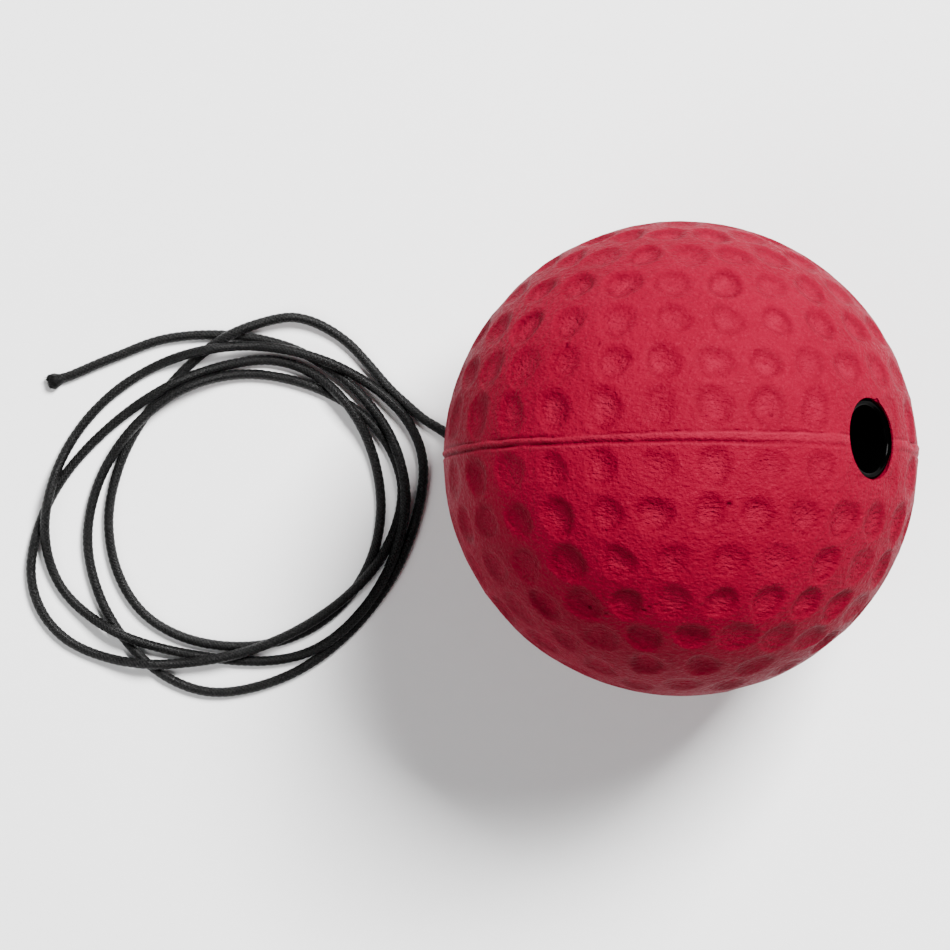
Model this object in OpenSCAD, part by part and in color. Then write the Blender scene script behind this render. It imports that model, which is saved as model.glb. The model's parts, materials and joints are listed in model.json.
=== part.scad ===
// Reflex ball: a moulded foam ball on a thin elastic cord.
// The ball rests on the floor with its bottom at the origin, +Z is up, and the
// cord leaves it low on the -X side and lies coiled on the same floor.

/* [Ball] */
// Diameter of the ball
ball_d = 65; // [62:0.5:68]
// Width of the raised parting band round the ball
seam_w = 1.4; // [0.8:0.1:2.4]
// Height of the parting band above the ball's skin
seam_h = 0.12; // [0.08:0.02:0.3]
// Tilt of the parting band from the XZ plane, in degrees
seam_tilt = 4; // [0:1:10]
// Diameter of one dimple at the ball's skin
dimple_d = 4.8; // [3.5:0.1:5.2]
// Depth of one dimple
dimple_depth = 0.35; // [0.2:0.05:0.5]
// Angle from the parting band to the first row of dimples
first_row = 7; // [6.5:0.1:8]
// Angle from one row of dimples to the next
row_pitch = 11.4; // [11:0.1:11.6]

/* [Core sleeve] */
// Height of the bore's mouth above the horizontal, in degrees
bore_rise = 38; // [30:1:45]
// Turn of the bore's mouth from +X towards +Y, in degrees
bore_turn = 6; // [-10:1:20]
// Outer diameter of the sleeve round the knot well
sleeve_d = 11.2; // [10:0.1:13]
// Diameter of the knot well
well_d = 8.8; // [7.5:0.1:9]
// Thickness of the sleeve under the knot well
well_foot = 4; // [2:0.5:5]
// Free depth of the knot well, from the pushed-up knot to the sleeve's lip
well_room = 2.2; // [1:0.2:5]
// Outer diameter of the sleeve's thin stem
stem_d = 6; // [5:0.1:7]
// Diameter of the cord passage through the stem
passage_d = 2.4; // [2.2:0.1:3]

/* [Cord] */
// Diameter of the elastic cord
cord_d = 1.4; // [1.2:0.1:1.6]
// Diameter across the stopper knot
knot_d = 4.4; // [4:0.1:5.5]
// How far the cord can be pushed back through the ball
knot_travel = 8; // [4:1:9]
// Outer diameter of the coil that the cord lies in
coil_od = 56; // [54:0.5:57]
// Inner diameter of that coil
coil_id = 35; // [33:0.5:38]
// How many cords lie on each other where the coil's turns cross
coil_layers = 3; // [2:1:3]
// Diameter of the melted bead that seals the cord's free end
tip_d = 2; // [1.8:0.1:2.4]

/* [Hidden] */
$fn = 64;

ball_r = ball_d / 2;
cord_r = cord_d / 2;
ball_centre = [0, 0, ball_r + seam_h];

// The bore's axis, pointing out of its mouth
bore_dir = [cos(bore_rise) * cos(bore_turn), cos(bore_rise) * sin(bore_turn), sin(bore_rise)];
function on_bore(t) = ball_centre + t * bore_dir;

// The stopper knot: two wraps on a core, and the short end that stands out of it
wrap_r = knot_d / 2 - cord_r;
wrap_pitch = 1.3;
wraps_l = cord_d + wrap_pitch;
knot_end_l = 4;

// Places along the bore's axis, from the ball's centre
knot_gap = 0.1;
well_depth = knot_gap + wraps_l + knot_end_l + knot_travel + well_room;
lip_at = sqrt(pow(ball_r, 2) - pow(sleeve_d / 2, 2)) - 0.1;
well_floor_at = lip_at - well_depth;
well_foot_at = well_floor_at - well_foot;
stem_end_at = -sqrt(pow(ball_r, 2) - pow(stem_d / 2, 2)) + 0.1;
knot_at = well_floor_at + knot_gap;
inner_end_at = -20;
lead_start_at = inner_end_at - 0.3;
lip_round = 0.55;

// Rows of dimples on each side of the band: how many, and where one of them is
DIMPLES = [27, 28, 24, 24, 20, 15, 8];
FIRST_DIMPLE = [-96, -97, -94, -94, -88, -100, -90];

// A dimple is cut by a large sphere that meets the skin in a circle of dimple_d
dimple_cap = dimple_depth - (ball_r - sqrt(pow(ball_r, 2) - pow(dimple_d / 2, 2)));
dimple_cutter_r = (pow(dimple_d / 2, 2) + pow(dimple_cap, 2)) / (2 * dimple_cap);

// Where the coil lies
coil_centre = [-63.4, -6.6];
coil_h = coil_layers * cord_d + 0.2;

// The free cord's route, from the ball to the coil: it drops to the floor
// under the ball's side and runs out along the floor
LEAD = [
    [-27.8, -3, 10.7], [-29, -2.9, 8.6], [-29.6, -2.1, 6.3], [-29.6, -0.8, 4.1], [-30, 0.9, 2.2],
    [-31, 2.6, 1.1], [-32.8, 4, 0.7], [-35.5, 5.7, 0.7], [-38.2, 8, 0.7], [-40.5, 10.2, 0.7],
    [-43, 13.1, 0.7], [-46, 16.3, 0.7], [-49, 18.4, 0.8], [-52, 19.7, 1.2], [-55, 20, 1.6]
];
lead_route = concat([for (t = [lead_start_at, -24.5, -28.5, -32.5]) on_bore(t)], LEAD);

// The free end's route, from the coil to the tip
TAIL = [[-79, 14.5, 0.8], [-81.5, 13.5, 0.7], [-84, 12.4, 0.7], [-86, 11.6, 0.7], [-87, 11.4, 0.7]];
tip_start = TAIL[len(TAIL) - 1];
tip_l = 1.5;

// A tube of eight sides swept along a route
TUBE_SIDES = 8;
function unit(v) = v / norm(v);
function heading(route, i) =
    unit(route[min(i + 1, len(route) - 1)] - route[max(i - 1, 0)]);
function side_of(d) = unit(cross(abs(d[2]) > 0.9 ? [0, 1, 0] : [0, 0, 1], d));
function ring(route, i, r) =
    let (d = heading(route, i), s = side_of(d), u = cross(d, s))
    [for (k = [0 : TUBE_SIDES - 1])
        let (a = 360 * (k + 0.5) / TUBE_SIDES) route[i] + r * (cos(a) * s + sin(a) * u)];

module tube(route, r) {
    rings = len(route);
    polyhedron(
        points = [for (i = [0 : rings - 1]) each ring(route, i, r)],
        faces = concat(
            [[for (k = [0 : TUBE_SIDES - 1]) k]],
            [for (i = [0 : rings - 2]) for (k = [0 : TUBE_SIDES - 1])
                let (a = i * TUBE_SIDES, b = a + TUBE_SIDES, n = (k + 1) % TUBE_SIDES)
                [a + k, b + k, b + n, a + n]],
            [[for (k = [TUBE_SIDES - 1 : -1 : 0]) (rings - 1) * TUBE_SIDES + k]]
        )
    );
}

// Puts its children in the bore's frame: +Z out of the mouth, ball centre at 0
module along_bore() {
    translate(ball_centre) rotate([0, 90 - bore_rise, bore_turn]) children();
}

// Puts its children in the band's frame: +Z across the parting band
module across_seam() {
    translate(ball_centre) rotate([-90 - seam_tilt, 0, 0]) children();
}

module parting_band() {
    rotate_extrude()
        translate([ball_r - 1, -seam_w / 2]) square([1 + seam_h, seam_w]);
}

module dimple_cutters() {
    for (half = [-1, 1])
        for (row = [0 : len(DIMPLES) - 1])
            let (lat = half * (first_row + row * row_pitch))
                for (k = [0 : DIMPLES[row] - 1])
                    rotate([0, -lat, FIRST_DIMPLE[row] + 360 * k / DIMPLES[row]])
                        translate([ball_r - dimple_depth + dimple_cutter_r, 0, 0])
                            sphere(dimple_cutter_r);
}

module sleeve_outside() {
    translate([0, 0, well_foot_at]) cylinder(d = sleeve_d, h = lip_at - well_foot_at);
    translate([0, 0, stem_end_at]) cylinder(d = stem_d, h = well_foot_at - stem_end_at + 1);
}

module ball_body() {
    color("crimson") difference() {
        union() {
            translate(ball_centre) sphere(ball_r);
            across_seam() parting_band();
        }
        across_seam() dimple_cutters();
        along_bore() {
            translate([0, 0, well_foot_at]) cylinder(d = sleeve_d, h = ball_r);
            translate([0, 0, -ball_r - 1]) cylinder(d = stem_d, h = ball_r + well_foot_at + 2);
        }
    }
}

module core_sleeve() {
    color("black") along_bore() difference() {
        union() {
            sleeve_outside();
            // The lip's rounded edge
            translate([0, 0, lip_at]) rotate_extrude()
                translate([(sleeve_d + well_d) / 4, 0]) circle(lip_round);
        }
        translate([0, 0, well_floor_at]) cylinder(d = well_d, h = well_depth + 2);
        translate([0, 0, -ball_r - 1]) cylinder(d = passage_d, h = 2 * ball_r);
    }
}

module cord_knot() {
    color("black") along_bore() translate([0, 0, knot_at]) {
        for (k = [0, 1])
            translate([0, 0, cord_r + k * wrap_pitch]) rotate_extrude()
                translate([wrap_r, 0]) circle(cord_r);
        cylinder(r = wrap_r, h = wraps_l);
        translate([0, 0, wraps_l / 2]) cylinder(r = cord_r, h = wraps_l / 2 + knot_end_l);
    }
}

module cord_inner() {
    color("black") along_bore()
        translate([0, 0, inner_end_at]) cylinder(r = cord_r, h = knot_at - inner_end_at);
}

module cord_lead() {
    color("black") tube(lead_route, cord_r);
}

module cord_coil() {
    color("black") translate(coil_centre) rotate_extrude()
        translate([coil_id / 2, 0]) square([(coil_od - coil_id) / 2, coil_h]);
}

module cord_tail() {
    color("black") tube(TAIL, cord_r);
}

module cord_tip() {
    color("black") translate([tip_start[0], tip_start[1], tip_d / 2]) rotate([0, -90, 0])
        cylinder(d1 = cord_d, d2 = tip_d, h = tip_l);
}

ball_body();
core_sleeve();
cord_knot();
cord_inner();
cord_lead();
cord_coil();
cord_tail();
cord_tip();
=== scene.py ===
"""Looks of the reflex ball: a dimpled foam ball, its hole's sleeve, and a braided elastic cord.

Shapes are worked out in millimetres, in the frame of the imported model, and every mesh is
made in metres. The ball's skin uses the parting line's own latitude and longitude.
"""

import json
import math

import bmesh
import bpy
import numpy as np
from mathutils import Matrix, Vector, noise


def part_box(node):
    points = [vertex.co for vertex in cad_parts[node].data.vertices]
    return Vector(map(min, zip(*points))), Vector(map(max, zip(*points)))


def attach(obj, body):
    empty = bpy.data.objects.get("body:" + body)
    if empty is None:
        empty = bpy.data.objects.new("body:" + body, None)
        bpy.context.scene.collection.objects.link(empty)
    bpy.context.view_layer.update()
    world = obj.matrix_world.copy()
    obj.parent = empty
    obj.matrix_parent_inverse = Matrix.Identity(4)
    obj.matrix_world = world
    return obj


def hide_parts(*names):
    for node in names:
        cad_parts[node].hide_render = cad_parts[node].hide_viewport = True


MM = 0.001
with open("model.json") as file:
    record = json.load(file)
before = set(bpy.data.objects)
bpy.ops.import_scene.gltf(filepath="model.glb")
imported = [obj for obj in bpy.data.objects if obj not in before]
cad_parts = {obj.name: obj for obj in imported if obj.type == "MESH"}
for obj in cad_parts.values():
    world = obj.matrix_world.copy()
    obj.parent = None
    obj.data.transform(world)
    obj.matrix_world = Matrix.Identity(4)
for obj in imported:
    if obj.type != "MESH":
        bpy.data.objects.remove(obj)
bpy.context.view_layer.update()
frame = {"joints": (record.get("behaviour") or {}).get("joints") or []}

# ---------------------------------------------------------------- sizes taken from the frame
spin = next(j for j in frame["joints"] if j["name"] == "ball_spin")
CENTRE = np.array(spin["pos_m"]) / MM
BORE = np.array(spin["axis"]) / np.linalg.norm(spin["axis"])
ball_low, ball_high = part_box("ball_body")
BALL_R = round((ball_high.y - ball_low.y) / MM / 2, 1)
CORD_D = 1.4
CORD_R = CORD_D / 2

# The bore's frame: along is out of its mouth, side is level, and rise points up and back
SIDE = np.cross([0, 0, 1], BORE) / np.linalg.norm(np.cross([0, 0, 1], BORE))
RISE = np.cross(BORE, SIDE)

# Places along the bore, from the ball's centre, and the sleeve's radii
LIP_AT = 31.9
WELL_FLOOR_AT = 14.9
WELL_FOOT_AT = 10.9
STEM_END_AT = -32.25
SLEEVE_R = 5.6
WELL_R = 4.4
STEM_R = 3.0
PASSAGE_R = 1.2
CORD_START_AT = -20.3
CORD_INSIDE_AT = (-24.5, -28.5)  # places the cord passes on its way out
KNOT_STRAND_START_AT = -20.0
EXIT_AT = -32.5


def on_bore(t, across=0.0, angle=0.0):
    """The point at t along the bore, off its axis by across in the direction angle."""
    off = across * (math.cos(angle) * SIDE + math.sin(angle) * RISE)
    return CENTRE + t * BORE + off


# ---------------------------------------------------------------- camera
CAMERA_AT = (-28.19 * MM, -2.25 * MM, 1.0)
CAMERA_LENS = 267.6
CAMERA_SENSOR = 36.0


def make_camera():
    data = bpy.data.cameras.new("camera")
    data.sensor_width = CAMERA_SENSOR
    data.lens = CAMERA_LENS
    data.clip_start = 0.01
    data.clip_end = 10
    camera = bpy.data.objects.new("camera", data)
    camera.location = CAMERA_AT
    bpy.context.scene.collection.objects.link(camera)
    bpy.context.scene.camera = camera


# ---------------------------------------------------------------- mesh helpers
def new_piece(name, points, faces, material, sharp_angle=None):
    """A smooth-shaded mesh object from points in millimetres."""
    mesh = bpy.data.meshes.new(name)
    mesh.from_pydata((np.asarray(points) * MM).tolist(), [], faces)
    mesh.polygons.foreach_set("use_smooth", [True] * len(mesh.polygons))
    if sharp_angle:
        mesh.set_sharp_from_angle(angle=math.radians(sharp_angle))
    mesh.update()
    piece = bpy.data.objects.new(name, mesh)
    bpy.context.scene.collection.objects.link(piece)
    if material:
        mesh.materials.append(material)
    return piece


def smooth_step(low, high, value):
    t = np.clip((value - low) / (high - low), 0, 1)
    return t * t * (3 - 2 * t)


def bell(value, half):
    """1 where the value is 0, falling away smoothly over about half on each side."""
    return np.exp(-(value / half) ** 2)


def curve_through(knots, step):
    """Points every step along a centripetal Catmull-Rom curve through the knots."""
    knots = np.asarray(knots, float)
    gaps = np.linalg.norm(np.diff(knots, axis=0), axis=1) ** 0.5
    time = np.r_[0, np.cumsum(gaps)]
    time = np.r_[time[0] - gaps[0], time, time[-1] + gaps[-1]]
    knots = np.vstack([2 * knots[0] - knots[1], knots, 2 * knots[-1] - knots[-2]])
    dense = []
    for i in range(1, len(knots) - 2):
        p0, p1, p2, p3 = knots[i - 1:i + 3]
        t0, t1, t2, t3 = time[i - 1:i + 3]
        count = max(2, int(np.linalg.norm(p2 - p1) / 0.05))
        u = np.linspace(t1, t2, count, endpoint=False)[:, None]
        a1 = (t1 - u) / (t1 - t0) * p0 + (u - t0) / (t1 - t0) * p1
        a2 = (t2 - u) / (t2 - t1) * p1 + (u - t1) / (t2 - t1) * p2
        a3 = (t3 - u) / (t3 - t2) * p2 + (u - t2) / (t3 - t2) * p3
        b1 = (t2 - u) / (t2 - t0) * a1 + (u - t0) / (t2 - t0) * a2
        b2 = (t3 - u) / (t3 - t1) * a2 + (u - t1) / (t3 - t1) * a3
        dense.append((t2 - u) / (t2 - t1) * b1 + (u - t1) / (t2 - t1) * b2)
    dense = np.vstack(dense + [knots[-2:-1]])
    return resampled(dense, step)


def resampled(line, step):
    """The same line with its points a step apart."""
    run = np.r_[0, np.cumsum(np.linalg.norm(np.diff(line, axis=0), axis=1))]
    even = np.linspace(0, run[-1], int(round(run[-1] / step)) + 1)
    return np.stack([np.interp(even, run, line[:, a]) for a in range(3)], axis=1)


def frames_along(line):
    """Tangents and a pair of cross directions that turn as little as they can."""
    tangents = np.gradient(line, axis=0)
    tangents /= np.linalg.norm(tangents, axis=1)[:, None]
    sides = np.zeros_like(line)
    start = np.cross(tangents[0], [0, 1, 0])
    sides[0] = start / np.linalg.norm(start)
    for i in range(1, len(line)):
        side = sides[i - 1] - tangents[i] * (sides[i - 1] @ tangents[i])
        sides[i] = side / np.linalg.norm(side)
    return tangents, sides, np.cross(tangents, sides)


# ---------------------------------------------------------------- the cord's route
# From the passage's end the cord drops to the floor and runs out to the coil
LEAD = [
    [-27.8, -3, 10.7], [-29, -2.9, 8.6], [-29.6, -2.1, 6.3], [-29.6, -0.8, 4.1], [-30, 0.9, 2.2],
    [-31, 2.6, 1.1], [-32.8, 4, 0.7], [-35.5, 5.7, 0.7], [-38.2, 8, 0.7], [-40.5, 10.2, 0.7],
    [-43, 13.1, 0.7], [-46, 16.3, 0.7], [-49, 18.4, 0.8], [-52, 19.7, 1.2], [-55, 20, 1.6],
]
TAIL = [[-79, 14.5, 0.8], [-81.5, 13.5, 0.7], [-84, 12.4, 0.7], [-86, 11.6, 0.7], [-87, 11.4, 0.7]]
# The coil's outermost places in the order the cord reaches them, left, bottom, right and top of
# each turn: x, y, and how round the quarter turn before it is (0.55 is a quarter of an ellipse)
COIL_PLACES = [
    (-80, -8, 0.42), (-61, -26.5, 0.65), (-41.5, -7, 0.55), (-58, 14, 0.55),
    (-91, -15, 0.45), (-72, -29, 0.65), (-38.5, -5, 0.5), (-61, 12, 0.55),
    (-83, -11, 0.5), (-64.5, -33, 0.5), (-35.5, -1, 0.5), (-60.5, 16, 0.5),
    (-89, -10.5, 0.55), (-57, -28.5, 0.62), (-38, -5, 0.5), (-63, 17.5, 0.5),
]
STEPS_A_QUARTER = 4
# One more place between the coil and TAIL; its height only puts it under the strand it crosses
COIL_TO_TAIL = [-72, 17, 0.1]
# A later turn lies over an earlier one, apart from these stretches: place along the coil and half
# the length, both in quarter turns, then 1 where it lies over later strands, -1 where it slips
# under earlier ones
ORDER_CHANGES = [(3.5, 0.3, 1), (6.2, 0.3, 1), (11.8, 0.3, 1), (16.0, 0.3, -1)]
FADE = 0.2
ROUTE_STEP = 0.5
SQUEEZED = 0.97  # how much of its diameter a strand keeps where another lies on it
APART_ALONG = 16  # steps along the cord before two of its places count as two strands
HEIGHT_ERROR = 0.01
MOST_LIFTS = 400
HUMP = 4.5  # how far a strand that passes over another takes to rise


def rank_at(quarter):
    """A number that is higher on the upper strand of any two that cross, by place on the coil."""
    rank = 0.02 * quarter
    for place, half, change in ORDER_CHANGES:
        rank += change * (1 - smooth_step(half, half + FADE, abs(quarter - place)))
    return rank


def coil_knots():
    """The coil's points: each quarter turn is a rounded arc from one outermost place to the next.

    Their heights are only ranks, which laid_down turns into real heights.
    """
    knots = []
    start = np.array(LEAD[-1][:2], float)
    for quarter, (x, y, roundness) in enumerate(COIL_PLACES):
        end = np.array([x, y], float)
        leaves = np.array([1, 0]) if quarter % 2 == 0 else np.array([0, 1])
        first = start + roundness * (end - start) * leaves
        second = end - roundness * (end - start) * (1 - leaves)
        for step in range(1, STEPS_A_QUARTER + 1):
            t = step / STEPS_A_QUARTER
            place = ((1 - t) ** 3 * start + 3 * (1 - t) ** 2 * t * first
                     + 3 * (1 - t) * t ** 2 * second + t ** 3 * end)
            knots.append([*place, CORD_R + rank_at(quarter + t)])
        start = end
    return knots


def laid_down(route, floor_from):
    """The route with its coil on the floor, and each upper strand lifted clear of what it crosses.

    The route's own heights say which strand is the upper one. Each lift is a long hump, repeated
    until no two strands are closer than a slightly squeezed cord.
    """
    count = len(route)
    rank = route[:, 2]
    height = np.maximum(np.where(np.arange(count) < floor_from, rank, CORD_R), CORD_R)
    touch = SQUEEZED * CORD_D
    apart = np.sqrt(((route[:, None, :2] - route[None, :, :2]) ** 2).sum(2))
    order = np.abs(np.subtract.outer(np.arange(count), np.arange(count)))
    upper, lower = np.where((apart < touch) & (order > APART_ALONG))
    above = rank[upper] > rank[lower]
    upper, lower = upper[above], lower[above]
    need = np.sqrt(touch ** 2 - apart[upper, lower] ** 2)
    reach = np.arange(-3 * HUMP, 3 * HUMP + ROUTE_STEP, ROUTE_STEP)
    hump = bell(reach, HUMP)
    hump /= hump.sum()
    for _ in range(MOST_LIFTS):
        push = np.zeros(count)
        np.maximum.at(push, upper, np.maximum(need - (height[upper] - height[lower]), 0))
        if push.max() < HEIGHT_ERROR:
            break
        height += np.convolve(push, hump, mode="same")
    return np.column_stack([route[:, :2], height])


def cord_route():
    """The cord's centreline from inside the ball to its free end."""
    coil = coil_knots()
    inside = [on_bore(t) for t in (CORD_START_AT, *CORD_INSIDE_AT, EXIT_AT)]
    knots = np.array([list(p) for p in inside] + LEAD + coil + [COIL_TO_TAIL] + TAIL)
    route = curve_through(knots, ROUTE_STEP)
    first_turn = len(route) // 3
    on_floor = np.array(coil[STEPS_A_QUARTER - 1][:2])
    floor_from = int(np.argmin(((route[:first_turn, :2] - on_floor) ** 2).sum(1)))
    return laid_down(route, floor_from)


# ---------------------------------------------------------------- braided strand
BRAID_RING = 0.2
BRAID_SIDES = 20
BRAID_STARTS = 4
BRAID_PITCH = 0.9
BRAID_RELIEF = 0.035


def braided_strand(name, line, radius, material, ends=(1.0, 1.0)):
    """A closed tube along the line, with the crossing ridges of a round braid.

    ends scales the radius at its two ends. Its map Braid holds the share of a turn round the
    strand and the run along it in millimetres, so that the material's yarns follow it.
    """
    line = resampled(line, BRAID_RING)
    run = np.arange(len(line)) * BRAID_RING
    _, sides, ups = frames_along(line)
    turn = 2 * math.pi * np.arange(BRAID_SIDES) / BRAID_SIDES
    wave = 2 * math.pi * run[:, None] / BRAID_PITCH
    right = np.cos(BRAID_STARTS * turn[None, :] + wave)
    left = np.cos(BRAID_STARTS * turn[None, :] - wave)
    uneven = np.array([noise.noise(Vector((0.35 * s, 4.2, 1.7))) for s in run])
    rings = radius + BRAID_RELIEF * (np.maximum(right, left) - 0.6) + 0.03 * uneven[:, None]
    taper = np.ones(len(line))
    taper[:3] = np.linspace(ends[0], 1, 3)
    taper[-3:] = np.linspace(1, ends[1], 3)
    rings = rings * taper[:, None]
    around = (np.cos(turn)[None, :, None] * sides[:, None, :]
              + np.sin(turn)[None, :, None] * ups[:, None, :])
    points = (line[:, None, :] + rings[:, :, None] * around).reshape(-1, 3)
    faces, uvs = [], []
    for i in range(len(line) - 1):
        for k in range(BRAID_SIDES):
            a, b = i * BRAID_SIDES, (i + 1) * BRAID_SIDES
            n = (k + 1) % BRAID_SIDES
            faces.append((a + k, a + n, b + n, b + k))
            u0, u1 = k / BRAID_SIDES, (k + 1) / BRAID_SIDES
            uvs += [u0, run[i], u1, run[i], u1, run[i + 1], u0, run[i + 1]]
    last = (len(line) - 1) * BRAID_SIDES
    faces.append(tuple(range(BRAID_SIDES - 1, -1, -1)))
    faces.append(tuple(last + k for k in range(BRAID_SIDES)))
    uvs += [0.5, 0.0] * BRAID_SIDES + [0.5, run[-1]] * BRAID_SIDES
    piece = new_piece(name, points, faces, material)
    layer = piece.data.uv_layers.new(name="Braid")
    layer.data.foreach_set("uv", uvs)
    return piece


def knot_line():
    """The strand inside the ball: up the passage, round itself, and a short end standing out."""
    base = WELL_FLOOR_AT + 0.1
    first_wrap = base + 0.75
    wrap_r = 1.75
    line = [on_bore(t) for t in np.linspace(KNOT_STRAND_START_AT, base - 0.2, 60)]
    line += [on_bore(base + 0.35, 0.9, -0.4)]
    turns = 2.3
    first_angle = 0.5
    wraps_height = 1.35 * turns * 0.86
    for share in np.linspace(0, 1, 30):
        angle = first_angle + 2 * math.pi * turns * share
        line.append(on_bore(first_wrap + wraps_height * share, wrap_r, angle))
    top = first_wrap + wraps_height
    last = first_angle + 2 * math.pi * turns
    line += [on_bore(top + 0.55, 1.35, last + 0.9), on_bore(top + 1.2, 0.7, last + 1.6)]
    line += [on_bore(top + 2.0, 0.45, last + 2.0), on_bore(top + 3.1, 0.9, last + 2.6)]
    return np.array(line)


# ---------------------------------------------------------------- sealed end
TIP_CLEAR = 0.02
YARN_CLEAR = CORD_R * 0.05
TIP_YARNS = 16
YARN_SIDES = 5


def add_yarn(points, faces, rng, start, direction, side, up):
    """Adds one loose yarn to the sealed end: a thin spike that stands out of its ragged end."""
    a = rng.uniform(0, 2 * math.pi)
    root = start + direction * 1.6 + 0.6 * (math.cos(a) * side + 0.9 * math.sin(a) * up)
    way = direction + rng.uniform(0.0, 0.7) * (math.cos(a) * side + math.sin(a) * up)
    way /= np.linalg.norm(way)
    tip = root + way * rng.uniform(0.5, 1.0)
    tip[2] = max(tip[2], YARN_CLEAR)
    across = np.cross(way, [0.3, 0.2, 0.9])
    across /= np.linalg.norm(across)
    over = np.cross(way, across)
    base = len(points)
    width = rng.uniform(0.07, 0.14)
    for k in range(YARN_SIDES):
        turn = 2 * math.pi * k / YARN_SIDES
        points.append(root + width * (math.cos(turn) * across + math.sin(turn) * over))
    points.append(tip)
    for k in range(YARN_SIDES):
        faces.append((base + k, base + (k + 1) % YARN_SIDES, base + YARN_SIDES))
    faces.append(tuple(base + k for k in range(YARN_SIDES - 1, -1, -1)))


def sealed_end(start, direction, material):
    """The cord's melted end: a lumpy bulb, ragged at its end, with a few loose yarns."""
    rng = np.random.default_rng(5)
    direction = np.asarray(direction, float)
    direction /= np.linalg.norm(direction)
    side = np.cross([0, 0, 1], direction)
    side /= np.linalg.norm(side)
    up = np.cross(direction, side)
    sides = 28
    run = np.array([0, 0.25, 0.5, 0.75, 1.0, 1.2, 1.4, 1.6, 1.8, 1.95])
    radius = np.array([0.64, 0.78, 0.92, 1.04, 1.12, 1.14, 1.10, 1.00, 0.82, 0.58])
    turn = 2 * math.pi * np.arange(sides) / sides
    points = []
    for i, (t, r) in enumerate(zip(run, radius)):
        ragged = max(0.0, (t - 0.4) / 1.25)
        for a in turn:
            lump = noise.noise(Vector((2.1 * math.cos(a), 2.1 * math.sin(a), 1.9 * t + 3)))
            chip = noise.noise(Vector((4.5 * math.cos(a), 4.5 * math.sin(a), 7.7)))
            rr = r * (1 + 0.3 * ragged * lump) + 0.02 * math.cos(8 * a + 9 * t)
            tt = t + 0.34 * ragged ** 3 * chip
            across = rr * (math.cos(a) * side + math.sin(a) * up * 0.9)
            points.append(start + direction * tt + across)
    faces = []
    for i in range(len(run) - 1):
        for k in range(sides):
            n = (k + 1) % sides
            a, b = i * sides, (i + 1) * sides
            faces.append((a + k, a + n, b + n, b + k))
    faces.append(tuple(range(sides - 1, -1, -1)))
    inner = len(points)
    last = (len(run) - 1) * sides
    for a in turn:
        dent = 0.2 * noise.noise(Vector((3 * math.cos(a), 3 * math.sin(a), 1.1)))
        across = 0.3 * (math.cos(a) * side + math.sin(a) * up)
        points.append(start + direction * (1.9 + dent) + across)
    points.append(start + direction * 1.75)
    for k in range(sides):
        n = (k + 1) % sides
        faces.append((last + k, last + n, inner + n, inner + k))
        faces.append((inner + k, inner + n, len(points) - 1))
    for _ in range(TIP_YARNS):
        add_yarn(points, faces, rng, start, direction, side, up)
    for point in points:
        point[2] = max(point[2], TIP_CLEAR)  # it rests flattened on the floor
    return new_piece("sealed_end", points, faces, material)


# ---------------------------------------------------------------- lathe in the bore's frame
LATHE_SIDES = 112
LATHE_SHARP_ANGLE = 38


def lathe(name, outline, material, shape=None):
    """A closed solid of revolution about the bore; outline is a loop of (radius, along).

    shape may change a radius by its place along the bore and round it.
    """
    points, faces = [], []
    count = len(outline)
    for k in range(LATHE_SIDES):
        angle = 2 * math.pi * k / LATHE_SIDES
        ring = [(shape(r, along, angle) if shape else r, along) for r, along in outline]
        points += [on_bore(along, radius, angle) for radius, along in ring]
    for k in range(LATHE_SIDES):
        a, b = k * count, ((k + 1) % LATHE_SIDES) * count
        for i in range(count):
            n = (i + 1) % count
            faces.append((a + i, b + i, b + n, a + n))
    return new_piece(name, points, faces, material, LATHE_SHARP_ANGLE)


def arc(centre, radius, start, end, steps):
    """Points of (radius, along) on a round corner, from one angle in degrees to another."""
    found = []
    for angle in np.linspace(math.radians(start), math.radians(end), steps):
        found.append((centre[0] + radius * math.cos(angle), centre[1] + radius * math.sin(angle)))
    return found


def straight(start, end, steps):
    """Points of (radius, along) between two corners, without the corners themselves."""
    shares = np.linspace(0, 1, steps + 2)[1:-1]
    return [(start[0] + s * (end[0] - start[0]), start[1] + s * (end[1] - start[1])) for s in shares]


def sleeve_outline():
    """The sleeve's cut face: rounded lip, knot well with a filleted floor, thin stem."""
    lip_r = 0.55
    lip_centre = ((SLEEVE_R - 0.05 + WELL_R) / 2 + 0.02, RIM_UNDER_AT - 0.6)
    outside = SLEEVE_R - 0.04
    outline = [(outside, RIM_UNDER_AT - 1.2)]
    outline += arc(lip_centre, lip_r, 0, 180, 15)
    outline += [(WELL_R + 0.01, RIM_UNDER_AT - 1.2)]
    outline += straight((WELL_R, RIM_UNDER_AT - 1.4), (WELL_R, WELL_FLOOR_AT + 0.8), 24)
    outline += arc((WELL_R - 0.8, WELL_FLOOR_AT + 0.8), 0.8, 0, -90, 7)
    outline += arc((PASSAGE_R + 0.4, WELL_FLOOR_AT - 0.4), 0.4, 90, 180, 5)
    outline += straight((PASSAGE_R, WELL_FLOOR_AT - 1), (PASSAGE_R, STEM_END_AT + 1), 20)
    outline += arc((PASSAGE_R + 0.5, STEM_END_AT + 0.5), 0.5, 180, 270, 6)
    outline += arc((STEM_R - 0.34, STEM_END_AT + 0.3), 0.3, 270, 360, 5)
    outline += straight((STEM_R - 0.04, STEM_END_AT + 1), (STEM_R - 0.04, WELL_FOOT_AT), 20)
    outline += [(STEM_R - 0.04, WELL_FOOT_AT + 0.04), (outside, WELL_FOOT_AT + 0.04)]
    outline += straight((outside, WELL_FOOT_AT + 1), (outside, LIP_AT - 2), 12)
    return outline


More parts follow.
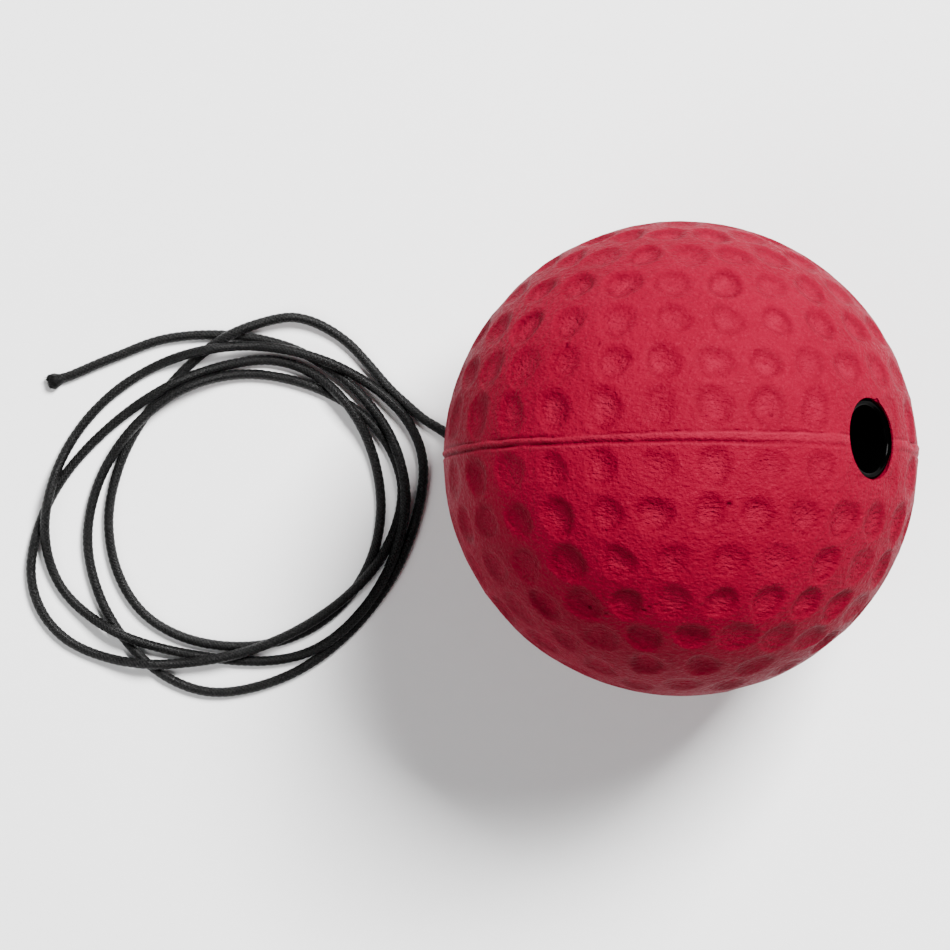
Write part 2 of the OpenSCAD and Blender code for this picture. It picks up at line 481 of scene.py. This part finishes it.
# ---------------------------------------------------------------- the ball's skin
# The foam's edge covers the sleeve's lip: the mouth in it, and where its underside is
MOUTH_R = 5.55
MOUTH_NARROWER = 0.5
NICK_AT = 335
RIM_UNDER_AT = 31.5
SEAM_TILT = math.radians(4)
SEAM_AXES = np.array([
    [1, 0, 0],
    [0, -math.sin(SEAM_TILT), -math.cos(SEAM_TILT)],
    [0, math.cos(SEAM_TILT), -math.sin(SEAM_TILT)],
])

# Rows of dimples, outward from the parting line: how many, and the longitude of one of them
ROWS_ABOVE = [(27, -97), (28, -96), (24, -94), (22, -94), (20, -88), (15, -99), (8, -90)]
ROWS_BELOW = [(27, -97), (28, -98), (24, -94), (24, -94), (20, -88), (12, -110), (8, -90)]
ROWS_MIDDLE = 1.0
FIRST_ROW = 7.0
ROW_PITCH = 11.4
DIMPLE_R = 2.55
DIMPLE_DEPTH = 0.68

# Pits and cuts in the skin: longitude and latitude of both ends, radius and depth
MARKS = [
    (-80, -15, -80, -15, 0.36, 0.42),
    (-83, -19.2, -78.6, -19.4, 0.30, 0.05),
    (-78.6, -19.4, -76.5, -17.6, 0.3, 0.05),
    (-123, 24, -122.7, 24.4, 0.24, 0.22),
    (-113.5, 24, -113.2, 24.3, 0.2, 0.16),
    (-69.5, 6.5, -69.2, 6.3, 0.17, 0.2),
    (-147, 6.9, -146.2, 9.0, 0.14, 0.12),
    (-95.5, 8.2, -94.5, 7.0, 0.13, 0.1),
    (-123, -42.2, -122.6, -42.4, 0.22, 0.22),
    (-117, -43.6, -116.4, -43.4, 0.2, 0.18),
    (-104, -42.6, -103.4, -42.8, 0.22, 0.22),
    (-102, -41.6, -101.5, -41.8, 0.16, 0.16),
    (-100, -41.0, -99.6, -41.3, 0.16, 0.14),
]


def direction(longitude, latitude):
    """A unit vector in the seam's frame, angles in degrees."""
    lon, lat = math.radians(longitude), math.radians(latitude)
    return np.array([math.cos(lat) * math.cos(lon), math.cos(lat) * math.sin(lon), math.sin(lat)])


def dimple_list():
    """Every dimple as (direction, radius, depth, stretch, lean), each a little different."""
    rng = np.random.default_rng(11)
    bore = SEAM_AXES @ BORE
    found = []
    for sign, rows in ((1, ROWS_ABOVE), (-1, ROWS_BELOW)):
        for row, (count, first) in enumerate(rows):
            latitude = ROWS_MIDDLE + sign * (FIRST_ROW + ROW_PITCH * row)
            for k in range(count):
                drift = rng.normal(0, 0.28, 2)
                way = direction(first + 360 * k / count + drift[0], latitude + drift[1])
                radius = DIMPLE_R * rng.uniform(0.92, 1.08)
                depth = DIMPLE_DEPTH * rng.uniform(0.7, 1.25)
                stretch = rng.uniform(0.95, 1.12) * (1.18 if sign > 0 and row == 0 else 1)
                lean = rng.uniform(0, 2 * math.pi, 2)
                from_bore = math.degrees(math.acos(max(-1, min(1, way @ bore))))
                if from_bore < 17:
                    depth *= 0.35 + 0.65 * max(0, from_bore - 9) / 8
                found.append((way, radius, depth, stretch, lean))
    return found


DIMPLES = dimple_list()


def skin_columns(latitude):
    """How many points a row of the skin has: fewer towards the poles."""
    for limit, count in ((60, 480), (75.5, 240), (83, 120), (87, 60)):
        if abs(latitude) < limit:
            return count
    return 30


def skin_mesh():
    """Unit vectors and faces of a closed sphere in rows, closest together at the parting line."""
    rows = np.r_[
        np.linspace(-89.3, -1.2, 118), np.arange(-0.9, 3.31, 0.3), np.linspace(3.7, 89.3, 115)
    ]
    points, rings, faces = [], [], []
    for latitude in rows:
        count = skin_columns(latitude)
        lon = 2 * math.pi * np.arange(count) / count
        lat = math.radians(latitude)
        rings.append(np.arange(count) + sum(len(r) for r in rings))
        ring = np.column_stack([np.cos(lat) * np.cos(lon), np.cos(lat) * np.sin(lon)])
        points.append(np.column_stack([ring, np.full(count, math.sin(lat))]))
    for low, high in zip(rings, rings[1:]):
        stitched(low, high, faces)
    total = sum(len(r) for r in rings)
    points.append(np.array([[0, 0, -1.0], [0, 0, 1.0]]))
    for k in range(len(rings[0])):
        faces.append((total, int(rings[0][(k + 1) % len(rings[0])]), int(rings[0][k])))
    for k in range(len(rings[-1])):
        faces.append((int(rings[-1][k]), int(rings[-1][(k + 1) % len(rings[-1])]), total + 1))
    return np.vstack(points), faces


def stitched(low, high, faces):
    """Faces between two rows, where one may have half as many points as the other."""
    low, high = [int(i) for i in low], [int(i) for i in high]
    n = min(len(low), len(high))
    for j in range(n):
        k = (j + 1) % n
        if len(low) == len(high):
            faces.append((low[j], low[k], high[k], high[j]))
        elif len(low) > len(high):
            a, b, c = low[2 * j], low[2 * j + 1], low[(2 * j + 2) % len(low)]
            faces += [(a, b, high[j]), (b, high[k], high[j]), (b, c, high[k])]
        else:
            a, b, c = high[2 * j], high[2 * j + 1], high[(2 * j + 2) % len(high)]
            faces += [(low[j], b, a), (low[j], low[k], b), (low[k], c, b)]


def mark_distance(ways, mark):
    """How far in millimetres each direction is from a mark's line."""
    start, end = direction(*mark[:2]), direction(*mark[2:4])
    along = end - start
    length = max(along @ along, 1e-12)
    share = np.clip(((ways - start) @ along) / length, 0, 1)
    return BALL_R * np.linalg.norm(ways - (start + share[:, None] * along), axis=1)


def refined_near_marks(points, faces):
    """The same sphere, its faces split into smaller ones round the pits and cuts."""
    mesh = bpy.data.meshes.new("skin")
    mesh.from_pydata(points.tolist(), [], faces)
    work = bmesh.new()
    work.from_mesh(mesh)
    work.verts.ensure_lookup_table()
    near = np.zeros(len(points), bool)
    for mark in MARKS:
        near |= mark_distance(points, mark) < mark[4] * 2 + 0.5
    near_edges = [e for e in work.edges if near[e.verts[0].index] and near[e.verts[1].index]]
    bmesh.ops.subdivide_edges(work, edges=near_edges, cuts=2, use_grid_fill=True)
    work.to_mesh(mesh)
    work.free()
    ways = np.zeros(len(mesh.vertices) * 3)
    mesh.vertices.foreach_get("co", ways)
    ways = ways.reshape(-1, 3)
    return mesh, ways / np.linalg.norm(ways, axis=1)[:, None]


def waviness(ways, scale, seed):
    """Smooth noise over the sphere, about -1 to 1, with features of about 1/scale millimetres."""
    grown = ways * BALL_R * scale + seed
    return np.array([noise.noise(Vector(p)) for p in grown])


# A dimple, by its share of the way from the middle to the edge
BOWL_SOFTNESS = 0.03
SWELL_HEIGHT = 0.06
SWELL_AT = 1.12
RIM_AT = 0.8
RIM_HALF = 0.16
# The parting line, heights in millimetres and widths in degrees of latitude
GROOVE_DEPTH = 0.26
GROOVE_HALF = 0.36
STRIP_HEIGHT = 0.11
UPPER_LINE_DEPTH = 0.15
UPPER_LINE_HALF = 0.27
UPPER_EDGE_HEIGHT = 0.07
UPPER_EDGE_HALF = 0.3
UPPER_EDGE_BELOW = 0.6
LOWER_EDGE_HEIGHT = 0.08
LOWER_EDGE_HALF = 0.35
LOWER_EDGE_BELOW = 0.75
STRENGTH_BEHIND = 0.85  # of the groove, on the half of the line that the camera doesn't see


def press_dimples(height, ways):
    """Presses the dimples into the height; returns the masks of their bowls and of the rings near
    their edges, where painted shade goes.
    """
    bowl = np.zeros(len(ways))
    ring = np.zeros(len(ways))
    for way, radius, depth, stretch, lean in DIMPLES:
        near = np.where(ways @ way > math.cos(2.0 * radius / BALL_R))[0]
        east = np.array([-way[1], way[0], 0]) / math.hypot(way[0], way[1])
        across, upward = ways[near] @ east, ways[near] @ np.cross(way, east)
        turn = np.arctan2(upward, across)
        share = BALL_R * np.hypot(across, upward / stretch) / radius
        share = share * (1 + 0.07 * np.cos(2 * turn + lean[0]) + 0.05 * np.cos(3 * turn + lean[1]))
        inside = 1 - share ** 2.0
        shape = (inside + np.sqrt(inside ** 2 + BOWL_SOFTNESS)) / 2
        swell = SWELL_HEIGHT * bell(share - SWELL_AT, RIM_HALF)
        height[near] += depth * (swell - shape)
        bowl[near] = np.maximum(bowl[near], shape * min(1, depth / DIMPLE_DEPTH))
        # painted shade: a ring on each dimple's wall, kept in the ring mask
        wall_shade = bell(share - RIM_AT, RIM_HALF)
        ring[near] = np.maximum(ring[near], wall_shade * depth / DIMPLE_DEPTH)
    return bowl, ring


def add_parting_line(height, ways, lat, lon):
    """Adds a groove, a raised strip above it, and a thinner broken line above the strip.

    Returns the masks of the painted shade in the groove and the thin line, and of the painted
    highlight on the pale edges and strip.
    """
    drift = 0.2 * waviness(ways, 0.05, 21.0) + 0.18 * waviness(ways, 0.3, 5.5)
    drift = drift + 0.1 * waviness(ways, 1.1, 9.5)
    from_line = lat - drift
    strength = 0.3 + 0.7 * smooth_step(-58, -82, lon)
    strength = np.where(lon > 0, STRENGTH_BEHIND, strength)
    strength = strength * (0.8 + 0.45 * waviness(ways, 0.4, 14.0))
    groove = bell(from_line, GROOVE_HALF)
    strip_width = 1.75 + 1.0 * smooth_step(-130, -60, lon) - 1.0 * smooth_step(60, 150, lon)
    strip_end = smooth_step(-0.5, 0.1, from_line - strip_width)
    strip = smooth_step(0.1, 0.9, from_line) * (1 - strip_end)
    broken = smooth_step(-0.6, -0.1, waviness(ways, 0.22, 33.0))
    from_upper = from_line - strip_width - 0.3 * waviness(ways, 0.5, 40.0)
    upper_line = bell(from_upper, UPPER_LINE_HALF) * broken
    upper_edge = bell(from_upper + UPPER_EDGE_BELOW, UPPER_EDGE_HALF)
    lower_edge = bell(from_line + LOWER_EDGE_BELOW, LOWER_EDGE_HALF)
    height += (STRIP_HEIGHT * strip - GROOVE_DEPTH * strength * groove
               - UPPER_LINE_DEPTH * upper_line + UPPER_EDGE_HEIGHT * upper_edge * broken)
    height += LOWER_EDGE_HEIGHT * lower_edge * strength
    # painted shade: the groove and the thin line are made deeper in tone where shade falls in them
    painted_shade = np.clip(groove * strength + 0.6 * upper_line, 0, 1)
    # painted highlight: paler on the raised strip and on the raised edges below the groove and the
    # thin line
    pale = np.clip(0.6 * strip + lower_edge * strength + upper_edge * broken, 0, 1)
    return painted_shade, pale


def press_marks(height, ways):
    """Presses the pits and cuts into the height; returns their mask, which the material uses for
    painted shade in them.
    """
    pits = np.zeros(len(ways))
    for mark in MARKS:
        dent = bell(mark_distance(ways, mark), mark[4])
        height -= mark[5] * dent
        pits = np.maximum(pits, dent * min(1, 3 * mark[5]))
    return pits


def skin_fields(ways):
    """The skin's height over the plain sphere in millimetres, and the masks its colours use."""
    lat = np.degrees(np.arcsin(np.clip(ways[:, 2], -1, 1)))
    lon = np.degrees(np.arctan2(ways[:, 1], ways[:, 0]))
    height = 0.07 * waviness(ways, 0.11, 3.1) + 0.028 * waviness(ways, 0.45, 8.4)
    masks = {}
    masks["bowl"], masks["ring"] = press_dimples(height, ways)
    masks["seam"], masks["pale"] = add_parting_line(height, ways, lat, lon)
    masks["pits"] = press_marks(height, ways)
    masks["above"] = smooth_step(-4, 14, lat)
    # The skin turns in round the bore's two mouths
    bore = SEAM_AXES @ BORE
    height = turned_in(height, ways, bore, SLEEVE_R)
    height = turned_in(height, ways, -bore, STEM_R)
    return height, masks


def mouth_shape(radius, along, angle):
    """The foam's edge at the mouth: a little narrower across than along, with one torn nick."""
    if along < RIM_UNDER_AT + 0.1 or radius < 1:
        return radius
    narrow = MOUTH_NARROWER * math.sin(angle) ** 2
    nick = 0.45 * math.exp(-((math.degrees(angle) - NICK_AT) / 4.5) ** 2)
    ragged = 0.07 * noise.noise(Vector((3 * math.cos(angle), 3 * math.sin(angle), 6.2)))
    return MOUTH_R - narrow + nick + ragged


def turned_in(height, ways, bore, hole_r):
    """The skin's height with a soft rounded edge round a hole about the direction bore."""
    cosine = np.clip(ways @ bore, -1, 1)
    off = BALL_R * np.sin(np.arccos(cosine))
    off = np.where(cosine > 0, off, 1e3) - hole_r
    calm = smooth_step(-0.2, 1.6, off)
    return height * calm - 0.14 * np.exp(-np.maximum(off, 0) / 0.5)


def ball_skin(material):
    """The foam ball: a closed dimpled skin with the bore cut through it."""
    mesh, ways = refined_near_marks(*skin_mesh())
    height, _ = skin_fields(ways)
    points = CENTRE + ((BALL_R + height)[:, None] * ways) @ SEAM_AXES
    mesh.vertices.foreach_set("co", (points * MM).astype(np.float32).ravel())
    mesh.update()
    ball = bpy.data.objects.new("foam_ball", mesh)
    bpy.context.scene.collection.objects.link(ball)
    reach = 45
    cutter = lathe("bore_cutter", [
        (SLEEVE_R, reach), (0.0001, reach), (0.0001, -reach), (STEM_R, -reach),
        (STEM_R, WELL_FOOT_AT), (SLEEVE_R, WELL_FOOT_AT), (SLEEVE_R, RIM_UNDER_AT),
        (MOUTH_R, RIM_UNDER_AT), (MOUTH_R, RIM_UNDER_AT + 0.2), (MOUTH_R, reach - 1),
    ], None, shape=mouth_shape)
    cut = ball.modifiers.new("bore", "BOOLEAN")
    cut.operation = "DIFFERENCE"
    cut.solver = "MANIFOLD"
    cut.object = cutter
    bpy.context.view_layer.update()
    shaped = ball.evaluated_get(bpy.context.evaluated_depsgraph_get())
    finished = bpy.data.meshes.new_from_object(shaped)
    ball.modifiers.remove(cut)
    ball.data = finished
    bpy.data.objects.remove(cutter)
    finished.polygons.foreach_set("use_smooth", [True] * len(finished.polygons))
    finished.set_sharp_from_angle(angle=math.radians(50))
    finished.materials.clear()
    finished.materials.append(material)
    paint_masks(finished)
    return ball


MASK_DEPTH = 1.5  # points deeper than this are inside the bore and get no mask


def paint_masks(mesh):
    """Stores the skin's masks on its points, for the material."""
    points = np.zeros(len(mesh.vertices) * 3)
    mesh.vertices.foreach_get("co", points)
    ways = (points.reshape(-1, 3) / MM - CENTRE) @ SEAM_AXES.T
    radius = np.linalg.norm(ways, axis=1)
    outside = radius > BALL_R - MASK_DEPTH
    _, masks = skin_fields(ways / np.maximum(radius, 1e-6)[:, None])
    for name, values in masks.items():
        attribute = mesh.attributes.new(name, "FLOAT", "POINT")
        attribute.data.foreach_set("value", np.where(outside, values, 0).astype(np.float32))


# ---------------------------------------------------------------- materials
class Shader:
    """A short way to write a node material."""

    def __init__(self, name):
        self.material = bpy.data.materials.new(name)
        self.material.use_nodes = True
        self.tree = self.material.node_tree
        self.surface = self.tree.nodes["Principled BSDF"]

    def node(self, kind, links=None, **settings):
        made = self.tree.nodes.new(kind)
        for key, value in settings.items():
            setattr(made, key, value)
        for key, value in (links or {}).items():
            self.put(made.inputs[key], value)
        return made

    def put(self, socket, value):
        if isinstance(value, bpy.types.NodeSocket):
            self.tree.links.new(value, socket)
        else:
            socket.default_value = value

    def math(self, kind, a, b=0.0, clamp=False):
        return self.node("ShaderNodeMath", {0: a, 1: b}, operation=kind, use_clamp=clamp).outputs[0]

    def place(self, stretch=(1, 1, 1), turn=(0, 0, 0)):
        """The piece's own coordinates, in millimetres."""
        coords = self.node("ShaderNodeTexCoord").outputs["Object"]
        scale = tuple(s / MM for s in stretch)
        links = {"Vector": coords, "Scale": scale, "Rotation": turn}
        return self.node("ShaderNodeMapping", links).outputs[0]

    def noise(self, scale, detail=3.0, rough=0.55, **place):
        return self.node("ShaderNodeTexNoise", {
            "Vector": self.place(**place), "Scale": scale, "Detail": detail, "Roughness": rough,
        }).outputs["Fac"]

    def cells(self, scale):
        return self.node("ShaderNodeTexVoronoi", {
            "Vector": self.place(), "Scale": scale,
        }).outputs["Distance"]

    def between(self, value, low, high, to_low=0.0, to_high=1.0):
        return self.node("ShaderNodeMapRange", {
            "Value": value, "From Min": low, "From Max": high, "To Min": to_low, "To Max": to_high,
        }, interpolation_type="SMOOTHSTEP").outputs[0]

    def mix(self, share, a, b):
        made = self.node("ShaderNodeMix", data_type="RGBA", blend_type="MIX")
        self.put(made.inputs["Factor"], share)
        self.put(made.inputs["A"], (*a, 1) if isinstance(a, tuple) else a)
        self.put(made.inputs["B"], (*b, 1) if isinstance(b, tuple) else b)
        return made.outputs["Result"]

    def mask(self, name):
        return self.node("ShaderNodeAttribute", attribute_name=name).outputs["Fac"]

    def bump(self, height, distance, under=None):
        links = {"Height": height, "Distance": distance * MM, "Strength": 1.0}
        if under is not None:
            links["Normal"] = under
        return self.node("ShaderNodeBump", links).outputs[0]

    def set(self, **values):
        for key, value in values.items():
            socket = self.surface.inputs[key.replace("_", " ")]
            self.put(socket, (*value, 1) if isinstance(value, tuple) else value)


def foam_material():
    """Moulded polyurethane foam skin: crimson, mottled, leathery, paler in the dimples from dust and
    painted sheen, with painted shade on dimple walls, fine wrinkles, groove and pits, and painted
    highlight on the parting line's edges.
    """
    s = Shader("crimson_foam")
    broad = s.between(s.noise(0.07, 3, 0.5), 0.35, 0.68)
    mottle = s.between(s.noise(0.8, 6, 0.7), 0.3, 0.72)
    speck = s.between(s.noise(2.6, 3, 0.7), 0.52, 0.66)
    bowl, above = s.mask("bowl"), s.mask("above")
    colour = s.mix(broad, (0.126, 0.0008, 0.0104), (0.146, 0.0012, 0.0128))
    colour = s.mix(s.math("MULTIPLY", mottle, 0.6), colour, (0.170, 0.0020, 0.016))
    # Paler in the dimple bowls: partly dust, partly painted sheen, stronger on the upper, lit half
    dust_and_sheen = s.between(s.noise(0.5, 5, 0.65), 0.3, 0.62)
    dust_and_sheen = s.math("MULTIPLY", s.between(bowl, 0.35, 1.0), dust_and_sheen)
    dust_and_sheen = s.math("MULTIPLY", dust_and_sheen, s.between(above, 0, 1, 0.3, 0.5))
    colour = s.mix(dust_and_sheen, colour, (0.225, 0.008, 0.027))
    # painted sheen: paler patches, stronger on the upper, lit half
    upper_sheen = s.between(s.noise(0.16, 4, 0.6), 0.42, 0.7)
    upper_sheen = s.math("MULTIPLY", upper_sheen, s.between(above, 0, 1, 0.03, 0.09))
    colour = s.mix(upper_sheen, colour, (0.205, 0.005, 0.022))
    # painted highlight: paler along the parting line's raised strip and edges
    colour = s.mix(s.math("MULTIPLY", s.mask("pale"), 0.4), colour, (0.24, 0.012, 0.032))
    # painted shade: a deeper red ring on the dimple walls
    wall_shade = s.between(s.noise(0.33, 3, 0.5), 0.35, 0.65, 0.20, 0.58)
    wall_shade = s.math("MULTIPLY", s.mask("ring"), wall_shade)
    colour = s.mix(wall_shade, colour, (0.082, 0.0003, 0.0065))
    # painted shade: thin deep-red lines standing in for shade in the skin's fine wrinkles
    crease_shade = s.noise(2.4, 5, 0.75, stretch=(0.8, 1.7, 1.2), turn=(0.3, 0.2, 0.6))
    crease_shade = s.between(crease_shade, 0.3, 0.46, 0.5, 0.0)
    colour = s.mix(crease_shade, colour, (0.082, 0.0003, 0.0065))
    # painted shade: the groove, the thin line and the pits get a near-black red, as shade in these
    # recesses
    painted_shade = s.math("ADD", s.math("MULTIPLY", s.mask("seam"), 0.78), s.mask("pits"), clamp=True)
    colour = s.mix(s.math("MULTIPLY", painted_shade, 0.85), colour, (0.030, 0.0002, 0.003))
    colour = s.mix(s.math("MULTIPLY", speck, 0.3), colour, (0.235, 0.008, 0.030))
    wrinkle = s.noise(1.25, 3, 0.6, stretch=(0.9, 1.7, 1.2), turn=(0.3, 0.2, 0.6))
    wrinkle = s.math("MULTIPLY", wrinkle, s.between(bowl, 0.1, 0.8, 0.4, 1.0))
    normal = s.bump(wrinkle, 0.5)
    normal = s.bump(s.cells(1.7), 0.07, under=normal)
    normal = s.bump(s.noise(2.9, 2, 0.6), 0.12, under=normal)
    rough = s.between(s.noise(1.7, 4, 0.6), 0.3, 0.7, 0.36, 0.55)
    s.set(Base_Color=colour, Roughness=rough, Normal=normal, Specular_IOR_Level=0.01)
    return s.material


YARNS_ROUND = 8
YARN_PITCH = 0.5


def braid_material():
    """Black braided elastic: fine crossing yarns with a soft textile shine and painted glints on
    their crowns.
    """
    s = Shader("braided_elastic")
    uv = s.node("ShaderNodeUVMap", uv_map="Braid").outputs[0]
    parts = s.node("ShaderNodeSeparateXYZ", {"Vector": uv})
    turn = s.math("MULTIPLY", parts.outputs[0], YARNS_ROUND * 2 * math.pi)
    run = s.math("MULTIPLY", parts.outputs[1], 2 * math.pi / YARN_PITCH)
    right = s.math("SINE", s.math("ADD", turn, run))
    left = s.math("SINE", s.math("SUBTRACT", turn, run))
    weave = s.math("MAXIMUM", right, left)
    fibre = s.noise(7, 3, 0.6)
    height = s.math("ADD", s.between(weave, -0.2, 1.0), s.math("MULTIPLY", fibre, 0.5))
    # painted highlight: yarn crowns made lighter in scattered patches as glints
    glint_spots = s.between(s.noise(2.6, 4, 0.7), 0.45, 0.75)
    top = s.math("MULTIPLY", s.between(weave, 0.45, 1.0), s.between(glint_spots, 0, 1, 0.2, 1.0))
    colour = s.mix(top, (0.0003, 0.0003, 0.0004), (0.0210, 0.0210, 0.0200))
    normal = s.bump(height, 0.12)
    rough = s.between(fibre, 0.3, 0.7, 0.24, 0.5)
    s.set(Base_Color=colour, Roughness=rough, Normal=normal, Specular_IOR_Level=0.17)
    return s.material


def seal_material():
    """The cord's melted end: hard black beads with a few greyish, scuffed points."""
    s = Shader("melted_end")
    lumps = s.noise(2.4, 4, 0.6)
    scuff = s.between(s.noise(3.5, 4, 0.7), 0.56, 0.72)
    colour = s.mix(scuff, (0.0004, 0.0004, 0.0005), (0.013, 0.013, 0.012))
    normal = s.bump(lumps, 0.22)
    normal = s.bump(s.noise(9, 3, 0.6), 0.05, under=normal)
    s.set(Base_Color=colour, Roughness=s.between(lumps, 0.3, 0.7, 0.25, 0.6), Normal=normal)
    s.set(Specular_IOR_Level=0.10)
    return s.material


def sleeve_material():
    """Glossy black plastic with faint moulding ripples and fine scuffs."""
    s = Shader("glossy_black_plastic")
    ripple = s.noise(0.35, 2, 0.4)
    scuff = s.between(s.noise(2.8, 5, 0.7), 0.55, 0.8)
    colour = s.mix(s.math("MULTIPLY", scuff, 0.4), (0.0003, 0.0003, 0.0003), (0.0012, 0.0012, 0.0013))
    normal = s.bump(ripple, 0.12)
    normal = s.bump(s.noise(6, 3, 0.6), 0.004, under=normal)
    rough = s.between(scuff, 0, 1, 0.12, 0.28)
    s.set(Base_Color=colour, Roughness=rough, Normal=normal, Specular_IOR_Level=0.012)
    return s.material


def floor_material():
    """A plain white table top with the faintest grain."""
    s = Shader("pale_floor")
    colour = s.mix(s.noise(0.4, 4, 0.6), (0.90, 0.90, 0.90), (0.93, 0.93, 0.93))
    s.set(Base_Color=colour, Roughness=0.7, Normal=s.bump(s.noise(1.5, 3, 0.5), 0.01))
    s.set(Specular_IOR_Level=0.2)
    return s.material


# ---------------------------------------------------------------- floor and light
FLOOR_AT = -0.02
FLOOR_HALF = 1200


def make_floor():
    corners = ((-1, -1), (1, -1), (1, 1), (-1, 1))
    points = [(FLOOR_HALF * x, FLOOR_HALF * y, FLOOR_AT) for x, y in corners]
    floor = new_piece("floor", points, [(0, 1, 2, 3)], floor_material())


def area_light(name, towards, distance, size, power):
    """A square soft light that looks at the ball from the direction towards."""
    way = Vector(towards).normalized()
    aim = Vector(CENTRE * MM)
    data = bpy.data.lights.new(name, "AREA")
    data.size = size
    data.energy = power
    lamp = bpy.data.objects.new(name, data)
    lamp.location = aim + way * distance
    lamp.rotation_mode = "QUATERNION"
    lamp.rotation_quaternion = (-way).to_track_quat("-Z", "Y")
    bpy.context.scene.collection.objects.link(lamp)


def make_lights():
    area_light("key", (0.34, 0.44, 0.66), 1.5, 0.55, 100)
    area_light("fill", (-0.55, -0.35, 0.8), 1.7, 1.0, 17)
    world = bpy.data.worlds.new("studio")
    world.use_nodes = True
    backdrop = world.node_tree.nodes["Background"]
    backdrop.inputs["Color"].default_value = (0.96, 0.98, 1.0, 1)
    backdrop.inputs["Strength"].default_value = 0.15
    bpy.context.scene.world = world


# ---------------------------------------------------------------- the object
make_camera()

route = cord_route()
braid = braid_material()
seal = seal_material()
cord = braided_strand("elastic_cord", route, CORD_R, braid)
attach(cord, "cord")
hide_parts("cord_lead", "cord_coil", "cord_tail")

tip = sealed_end(route[-1] + [0.35, 0, 0], route[-1] - route[-8], seal)
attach(tip, "cord")
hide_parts("cord_tip")

knot_route = curve_through(knot_line(), BRAID_RING)
knot = braided_strand("stopper_knot", knot_route, CORD_R, braid, ends=(1, 0.75))
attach(knot, "knot")
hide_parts("cord_knot", "cord_inner")

ball = ball_skin(foam_material())
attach(ball, "ball")
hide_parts("ball_body")

sleeve = lathe("hole_sleeve", sleeve_outline(), sleeve_material())
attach(sleeve, "ball")
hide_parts("core_sleeve")

make_floor()
make_lights()
